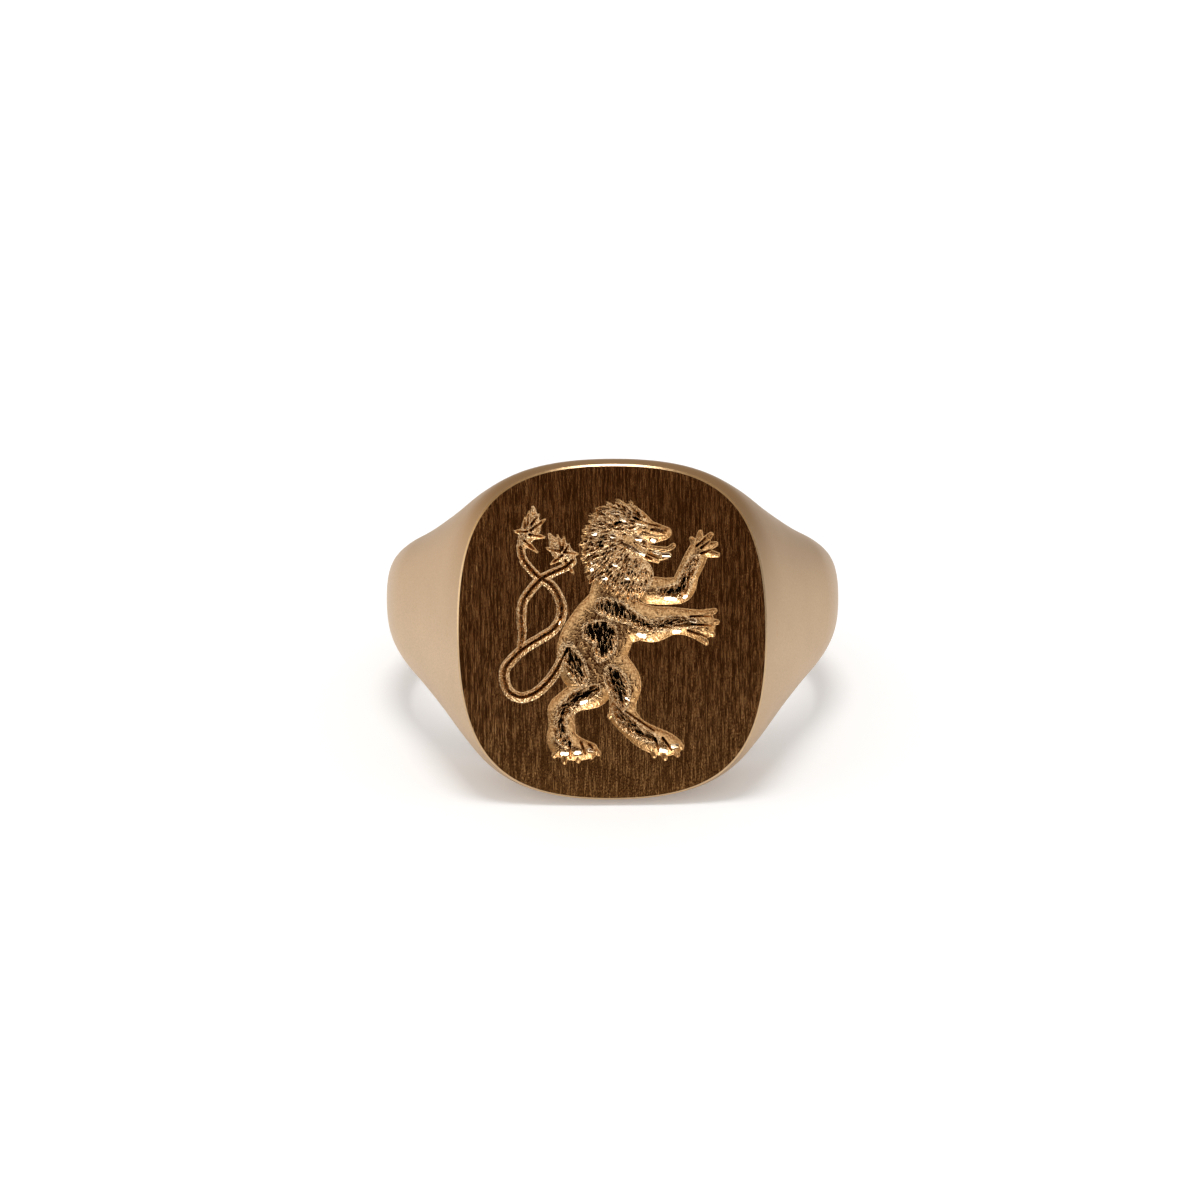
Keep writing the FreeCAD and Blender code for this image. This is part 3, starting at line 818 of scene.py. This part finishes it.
# %% A class for shader expressions
class Wire:
    """An output socket of a shader graph that takes part in Python arithmetic."""

    def __init__(self, tree, socket):
        self.tree, self.socket = tree, socket

    def node(self, kind, settings, inputs, output=0):
        """Adds a node of a kind, with its settings and then its sockets, and returns an output."""
        made = self.tree.nodes.new("ShaderNode" + kind)
        for name, value in settings.items():
            if name == "stops":
                for element, (position, color) in zip(made.color_ramp.elements, value):
                    element.position, element.color = position, color
            else:
                setattr(made, name, value)
        for name, value in inputs.items():
            if isinstance(value, Wire):
                self.tree.links.new(value.socket, made.inputs[name])
            else:
                made.inputs[name].default_value = value
        return Wire(self.tree, made.outputs[output])

    def math(self, operation, *values):
        return self.node("Math", {"operation": operation}, dict(enumerate(values)))

    def __add__(self, other):
        return self.math("ADD", self, other)

    def __mul__(self, other):
        return self.math("MULTIPLY", self, other)

    def __sub__(self, other):
        return self.math("SUBTRACT", self, other)

    def __rsub__(self, other):
        return self.math("SUBTRACT", other, self)

    __radd__, __rmul__ = __add__, __mul__

    def at_least(self, least):
        return self.math("MAXIMUM", self, least)

    def clamp(self):
        return self.node("Clamp", {}, {0: self})

    def scaled(self, x, y, z):
        """This vector with each part multiplied, for stretching a texture."""
        return self.node("VectorMath", {"operation": "MULTIPLY"}, {0: self, 1: (x, y, z)})

    def noise(self, scale, detail=2.0, rough=0.5):
        inputs = {"Vector": self, "Scale": scale, "Detail": detail, "Roughness": rough}
        return self.node("TexNoise", {}, inputs)

    def blend(self, dark, light):
        """Colour between two colours, this wire saying how far."""
        return self.node("Mix", {"data_type": "RGBA"}, {0: self, 6: dark, 7: light}, output=2)

    def bumps(self, strength, distance):
        return self.node("Bump", {}, {"Strength": strength, "Distance": distance, "Height": self})


PER_METRE = 1 / MM


def new_metal(name):
    """A metallic material, its surface shader, and the place on the ring in millimetres."""
    material = bpy.data.materials.new(name)
    material.use_nodes = True
    shader = material.node_tree.nodes["Principled BSDF"]
    shader.inputs["Metallic"].default_value = 1.0
    start = Wire(material.node_tree, None)
    place = start.node("TexCoord", {}, {}, output="Object").scaled(PER_METRE, PER_METRE, PER_METRE)
    return material, shader, place


def connect(wire, shader, name):
    """Feeds a wire into one of the shader's sockets."""
    wire.tree.links.new(wire.socket, shader.inputs[name])


def part_of(vector, axis):
    """One coordinate of a vector."""
    return vector.node("SeparateXYZ", {}, {0: vector}, output=axis)


print("Wire adds nodes for", ", ".join(n for n in vars(Wire) if not n.startswith("_")))

# %% [markdown]
# ## The satin and polished finishes
#
# The band has a fine satin finish: gold rubbed with abrasive in one direction, so it scatters light
# softly and has a fine, sandy grain. Its colour is darkened a little upwards and towards the right,
# most of all beside the plate: this is painted shade. The inside of the band and the narrow bevel
# are polished. Both are worked out from noise and the place on the ring, so they need no image and
# have no seam.

# %% Make the satin and polished golds
GOLD_LIGHT, GOLD_DEEP = (0.67, 0.475, 0.283, 1), (0.46, 0.305, 0.162, 1)
# painted shade: the colour that the satin is darkened towards
PAINTED_SHADE_GOLD = (0.4, 0.235, 0.1, 1)
SATIN_RELIEF, CUT_RELIEF, BRUSH_RELIEF = 0.02 * MM, 0.04 * MM, 0.02 * MM


def satin_gold():
    """Soft, sandy gold with painted shade upwards, to the right and beside the plate."""
    material, shader, place = new_metal("satin_gold")
    cloud = place.noise(0.35, 3.0)
    grain = place.scaled(2.2, 2.2, 14.0).noise(2.4, 4.0, 0.65)
    sand = place.noise(13.0, 1.0)
    tone = (cloud * 0.5 + grain * 0.3 + (sand - 0.5) * 1.2 + 0.1).clamp().blend(GOLD_DEEP, GOLD_LIGHT)
    # painted shade, by how near the plate, how far up and how far to the right a place is
    near = 1 - ((part_of(place, "Y") + FACE) * 0.4).clamp()
    upper = ((part_of(place, "Z") + 1.5) * 0.13).clamp()
    side = (part_of(place, "X") * 0.032).clamp()
    shade = (upper * (near * 0.5 + 0.75) + side * (near * 0.7 + 0.8)).clamp()
    connect(shade.blend(tone, PAINTED_SHADE_GOLD), shader, "Base Color")
    connect(grain * 0.1 + 0.33, shader, "Roughness")
    connect((grain * 0.5 + sand).bumps(0.25, SATIN_RELIEF), shader, "Normal")
    return material


def worn_polish(name, dark, light):
    """Almost a mirror, a little duller in patches."""
    material, shader, place = new_metal(name)
    wear = place.noise(9.0, 3.0)
    connect(wear.blend(dark, light), shader, "Base Color")
    connect(wear * 0.12 + 0.12, shader, "Roughness")
    return material


satin, polished = satin_gold(), worn_polish("polished_gold", GOLD_DEEP, GOLD_LIGHT)
print("materials:", satin.name, polished.name)

# %% [markdown]
# ## The finishes of the seal
#
# The face is brushed hard and straight up and down, with thin streaks of different tones and a few
# dark scratches. Its colour is painted darker and browner than the band's gold, partly as painted
# shade, and darker still towards the foot of the seal, which is painted shade. The walls of the
# engraving are bright from the graver. Where mane and fur are combed, the bright metal is broken into
# more and stronger sparks and its colour is painted lighter, a painted sheen. The facets are almost
# mirrors, with a pale colour that is a painted highlight.
# The deepest places are painted dark, as painted shade where little light gets in. Streaks are noise
# that is stretched along the brushing, and sparks are noise that both smooths and tilts the metal.

# %% Make the golds of the seal
CUT_GOLD, CUT_SHADE = (0.78, 0.48, 0.22, 1), (0.34, 0.17, 0.06, 1)
# painted sheen: the combed golds are lighter copies of the cut golds
COMBED_SHEEN_GOLD, COMBED_SHADE = (1.0, 0.72, 0.42, 1), (0.42, 0.23, 0.09, 1)
# painted highlight: the pale facet gold; painted shade: the colour of the deepest places and the depth
# where it starts
FACET_HIGHLIGHT_GOLD, PAINTED_DEEP_SHADE, DEEP_SHADE_DEPTH = (1.0, 0.86, 0.66, 1), (0.02, 0.01, 0.004, 1), 0.5
# brushed face: real streak tones on a colour painted darker and browner than the band's, partly painted
# shade
STREAK_DARK, STREAK_LIGHT = (0.27, 0.125, 0.037, 1), (0.86, 0.48, 0.185, 1)


def engraved_gold(name, shade, light, spot_share, relief):
    """Bright cut metal, painted shade deep down: how far its bright spots spread and how much they tilt.
    """
    material, shader, place = new_metal(name)
    speckle = place.noise(10.0, 1.0, 0.5)
    spots = ((speckle + spot_share) * 8).clamp()
    # painted shade in the deepest places of the cut, where little light gets in
    deep_shade = ((part_of(place, "Y") + speckle * 0.08 + FACE - DEEP_SHADE_DEPTH) * 9).clamp()
    tone = ((speckle - 0.5) * 1.8 + 0.5).clamp().blend(shade, light)
    connect(deep_shade.blend(tone, PAINTED_DEEP_SHADE), shader, "Base Color")
    connect(0.38 - spots * 0.3, shader, "Roughness")
    connect(speckle.bumps(relief, CUT_RELIEF), shader, "Normal")
    return material


def brushed_gold():
    """Streaks of several widths, with painted shade towards the foot of the seal."""
    material, shader, place = new_metal("brushed_gold")
    streaks = place.scaled(1.0, 1.0, 0.03).noise(14.0, 2.0, 0.6)
    fine = place.scaled(1.0, 1.0, 0.07).noise(21.0, 1.0, 0.6)
    grit = place.scaled(1.0, 1.0, 0.4).noise(20.0, 0.0)
    scratch = ((place.scaled(1.0, 1.0, 0.02).noise(8.0, 0.0) - 0.6) * 9).clamp()
    tone = ((streaks * 0.6 + fine * 0.8 + grit * 0.3 - 0.85) * 4.4 + 0.42 - scratch * 0.6).clamp()
    # painted shade: the face is darkened towards the foot of the seal
    painted_foot_shade = ((part_of(place, "Z") + 4.0) * -0.28).clamp()
    connect((tone - painted_foot_shade * 0.45).clamp().blend(STREAK_DARK, STREAK_LIGHT), shader, "Base Color")
    connect(fine * 0.16 + 0.16, shader, "Roughness")
    connect((streaks + fine + grit * 0.5).bumps(0.6, BRUSH_RELIEF), shader, "Normal")
    return material


brushed = brushed_gold()
cut_metal = engraved_gold("cut_gold", CUT_SHADE, CUT_GOLD, -0.46, 0.6)
# the combed mane and fur have a lighter colour, a painted sheen
combed_metal = engraved_gold("combed_gold", COMBED_SHADE, COMBED_SHEEN_GOLD, -0.36, 1.7)
# facets: a mirror gold whose pale colour is a painted highlight
facet_metal = worn_polish("mirror_gold", COMBED_SHEEN_GOLD, FACET_HIGHLIGHT_GOLD)
seal_finishes = {
    BRUSHED: brushed, ENGRAVED: cut_metal, COMBED: combed_metal, FACETED: facet_metal,
    SATIN: satin, POLISHED: polished}
print("materials:", [finish.name for finish in seal_finishes.values()])

# %% [markdown]
# ## Dressing the pieces
#
# Each form stands in for its CAD node, which it hides, and rides on the ring's only body. The
# wall of the finger hole gets the polished finish by its place: its faces lie at the finger radius.

# %% Assign finishes and hand the pieces over
ON_THE_WALL = 0.01


def polish_inside(piece):
    """Gives the wall of the finger hole the second of the piece's finishes."""
    for face in piece.data.polygons:
        x, y, _ = face.center
        face.material_index = int(math.hypot(x, y) / MM < FINGER_RADIUS + ON_THE_WALL)


for node, piece in pieces.items():
    if node == "seal_plate":
        finishes = list(seal_finishes.values())
    else:
        finishes = [satin, polished]
        polish_inside(piece)
    for finish in finishes:
        piece.data.materials.append(finish)
    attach(piece, "root")
    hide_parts(node)
print(f"{len(pieces)} pieces ride on the ring")

# %% [markdown]
# ## Table top
#
# The ring does not stand upright by itself. It leans back on the foot of the seal and the heel of the
# band, so in the ring's own frame the table is a gentle slope that touches both. It is one smooth
# sheet of white acrylic with a little light from below, which keeps the shadows pale. It is large
# enough to fill the view and no larger.

# %% Lay the table
HEEL_SHARE, FOOT_DEPTH, FOOT_HEIGHT, TABLE_GAP = 0.78, 0.8, -7.86, 0.02
heel = Vector((0, BAND_RADIUS, -BACK_HALF_HEIGHT * HEEL_SHARE))
foot = Vector((0, FOOT_DEPTH - FACE, FOOT_HEIGHT))
TILT = math.atan2(heel.z - foot.z, heel.y - foot.y)
SHEET_HALF_WIDTH, SHEET_FRONT, SHEET_BACK = 60.0, -60.0, 160.0
ACRYLIC_WHITE, ACRYLIC_ROUGHNESS, TABLE_GLOW = (0.9, 0.9, 0.9, 1), 0.9, 0.2


def on_the_table(x, along):
    """Point of the table's slope, at a distance behind the foot of the seal."""
    return x, foot.y + along * math.cos(TILT), foot.z - TABLE_GAP + along * math.sin(TILT)


def table_sheet():
    """The white sheet that the ring leans on."""
    corners = [on_the_table(-SHEET_HALF_WIDTH, SHEET_FRONT), on_the_table(SHEET_HALF_WIDTH, SHEET_FRONT),
               on_the_table(SHEET_HALF_WIDTH, SHEET_BACK), on_the_table(-SHEET_HALF_WIDTH, SHEET_BACK)]
    sheet = mesh_piece("table_sheet", corners, [(0, 1, 2, 3)])
    acrylic = bpy.data.materials.new("white_acrylic")
    acrylic.use_nodes = True
    shader = acrylic.node_tree.nodes["Principled BSDF"]
    shader.inputs["Base Color"].default_value = ACRYLIC_WHITE
    shader.inputs["Roughness"].default_value = ACRYLIC_ROUGHNESS
    shader.inputs["Emission Color"].default_value = (1, 1, 1, 1)
    shader.inputs["Emission Strength"].default_value = TABLE_GLOW
    sheet.data.materials.append(acrylic)
    return sheet


table_sheet()
print(f"table leans {math.degrees(TILT):.1f} degrees in the ring's frame")

# %% [markdown]
# ## Tent and softbox
#
# Gold shows what surrounds it. A photographer puts it in a tent of white cloth, so that it looks soft
# and pale. The world is the tent: white where the camera looks at it, a little dimmer overhead and to
# the right where only the gold sees it, and a little warmer there, as gold lit by gold is. A sun lamp
# with a very wide disc works as a softbox far away. It lights the table evenly and gives the bright
# sparks on walls that face up.

# %% Set up the tent and the softbox
TENT_LEVEL, TENT_FALL, TENT_SIDE, TENT_LEAST = 0.82, 1.5, 0.7, 0.5
TENT_WHITE, TENT_WARM, WARMING = (1, 1, 1, 1), (1, 0.84, 0.62, 1), 2.5
TENT_LIGHT, TENT_SEEN = 0.62, 0.98
SOFTBOX_ELEVATION, SOFTBOX_ANGLE, SOFTBOX_STRENGTH = math.radians(74), math.radians(22), 1.15


def light_tent():
    """White cloth all round, as a background that is brighter to the camera than to the gold."""
    world = bpy.data.worlds.new("light_tent")
    world.use_nodes = True
    background = world.node_tree.nodes["Background"]
    start = Wire(world.node_tree, None)
    direction = start.node("TexCoord", {}, {}, output="Generated")
    side, height = part_of(direction, "X"), part_of(direction, "Z")
    tent = (TENT_LEVEL - height * TENT_FALL - side * TENT_SIDE).at_least(TENT_LEAST)
    seen = start.node("LightPath", {}, {}, output="Is Camera Ray")
    mirrored = start.node("LightPath", {}, {}, output="Is Glossy Ray")
    level = seen * (TENT_SEEN - TENT_LIGHT) + TENT_LIGHT
    connect(level + mirrored * (tent - TENT_LIGHT), background, "Strength")
    warmth = mirrored * (height * WARMING).clamp()
    connect(warmth.blend(TENT_WHITE, TENT_WARM), background, "Color")
    bpy.context.scene.world = world


def softbox():
    """A soft lamp high in front of the ring."""
    lamp = bpy.data.lights.new("softbox", "SUN")
    lamp.angle, lamp.energy = SOFTBOX_ANGLE, SOFTBOX_STRENGTH
    holder = bpy.data.objects.new("softbox", lamp)
    holder.rotation_euler = (math.pi / 2 - SOFTBOX_ELEVATION, 0, 0)
    bpy.context.scene.collection.objects.link(holder)


light_tent()
softbox()
bpy.context.scene.view_settings.view_transform = "Standard"
print(f"softbox {math.degrees(SOFTBOX_ANGLE):.0f} degrees wide")

# %% [markdown]
# ## Cards in front of the ring
#
# The flat face would mirror the white tent and look washed out. A photographer holds a dark card in
# front of it, so that the face goes deep brown and the engraving stands out. The card's foot runs
# along the table towards the seal and keeps the face dark down to its lower edge. A small bright card
# hangs over it for the sparks in the cuts. Both are hidden from the camera and cast no shadow, so
# only reflections show them.

# %% Hold up the cards
CARD_COLOR, BRIGHT_CARD = (0.055, 0.019, 0.002, 1), 2.5
CARD_AWAY, CARD_LOW, CARD_HIGH, CARD_LEFT, CARD_RIGHT = -52.0, -18.5, 27.0, -36.0, 45.0
FOOT_HALF_WIDTH, FOOT_LENGTH = 34.0, 37.5
BRIGHT_HALF_WIDTH, BRIGHT_LOW, BRIGHT_NEAR, BRIGHT_HIGH = 30.0, 29.0, -30.0, 46.0


def reflected_card(name, corners, faces, color, strength):
    """A card that only reflections see."""
    card = mesh_piece(name, corners, faces)
    material = bpy.data.materials.new(name)
    material.use_nodes = True
    shader = material.node_tree.nodes["Principled BSDF"]
    shader.inputs["Base Color"].default_value = (0, 0, 0, 1)
    shader.inputs["Roughness"].default_value = 1.0
    shader.inputs["Emission Color"].default_value = color
    shader.inputs["Emission Strength"].default_value = strength
    card.data.materials.append(material)
    card.visible_camera = False
    card.visible_diffuse = False
    card.visible_shadow = False


def dark_card():
    """An upright card with a foot along the table towards the seal."""
    near, near_low = CARD_AWAY + FOOT_LENGTH, CARD_LOW + FOOT_LENGTH * math.tan(TILT)
    upright = [(CARD_LEFT, CARD_AWAY, CARD_LOW), (CARD_RIGHT, CARD_AWAY, CARD_LOW),
               (CARD_RIGHT, CARD_AWAY, CARD_HIGH), (CARD_LEFT, CARD_AWAY, CARD_HIGH)]
    along = [(-FOOT_HALF_WIDTH, CARD_AWAY, CARD_LOW), (FOOT_HALF_WIDTH, CARD_AWAY, CARD_LOW),
             (FOOT_HALF_WIDTH, near, near_low), (-FOOT_HALF_WIDTH, near, near_low)]
    reflected_card("dark_card", upright + along, [(0, 1, 2, 3), (4, 5, 6, 7)], CARD_COLOR, 1.0)


def bright_card():
    """A white card that leans over the top of the dark one."""
    half = BRIGHT_HALF_WIDTH
    corners = [(-half, CARD_AWAY, BRIGHT_LOW), (half, CARD_AWAY, BRIGHT_LOW),
               (half, BRIGHT_NEAR, BRIGHT_HIGH), (-half, BRIGHT_NEAR, BRIGHT_HIGH)]
    reflected_card("bright_card", corners, [(0, 1, 2, 3)], TENT_WHITE, BRIGHT_CARD)


dark_card()
bright_card()
print(f"dark card {-CARD_AWAY - FACE:.0f} mm in front of the face")

# %% [markdown]
# ## Camera
#
# A long lens far away keeps the seal's outline true. The camera looks a little down on the face from
# above, and aims a little over it, so that the ring stands slightly low in the view with white round
# it.

# %% Place the camera
ELEVATION, AZIMUTH, ROLL = math.radians(7.6), math.radians(0.3), math.radians(0.45)
DISTANCE, VIEW_WIDTH, SENSOR = 250.0, 55.05, 36.0
OFF_RIGHT, OFF_UP = -0.55, 1.5
NEAREST, FARTHEST = 0.01, 5.0


def place_camera():
    """The camera, turned a little about its own axis."""
    data = bpy.data.cameras.new("camera")
    data.sensor_width = SENSOR
    data.lens = SENSOR * DISTANCE / VIEW_WIDTH
    data.clip_start, data.clip_end = NEAREST, FARTHEST
    camera = bpy.data.objects.new("camera", data)
    back = Vector((math.sin(AZIMUTH) * math.cos(ELEVATION), -math.cos(AZIMUTH) * math.cos(ELEVATION),
                   math.sin(ELEVATION)))
    right = Vector((math.cos(AZIMUTH), math.sin(AZIMUTH), 0))
    up = back.cross(right)
    turned_right = right * math.cos(ROLL) - up * math.sin(ROLL)
    turned_up = up * math.cos(ROLL) + right * math.sin(ROLL)
    target = Vector((0, -FACE, 0)) + turned_right * OFF_RIGHT + turned_up * OFF_UP
    turn = Matrix((turned_right, turned_up, back)).transposed().to_4x4()
    camera.matrix_world = Matrix.Translation((target + back * DISTANCE) * MM) @ turn
    bpy.context.scene.collection.objects.link(camera)
    bpy.context.scene.camera = camera
    print(f"lens {data.lens:.0f} mm, {DISTANCE:.0f} mm from the face")


place_camera()

# %% [markdown]
# ## Finish
#
# The finished looks must keep the CAD model's size.
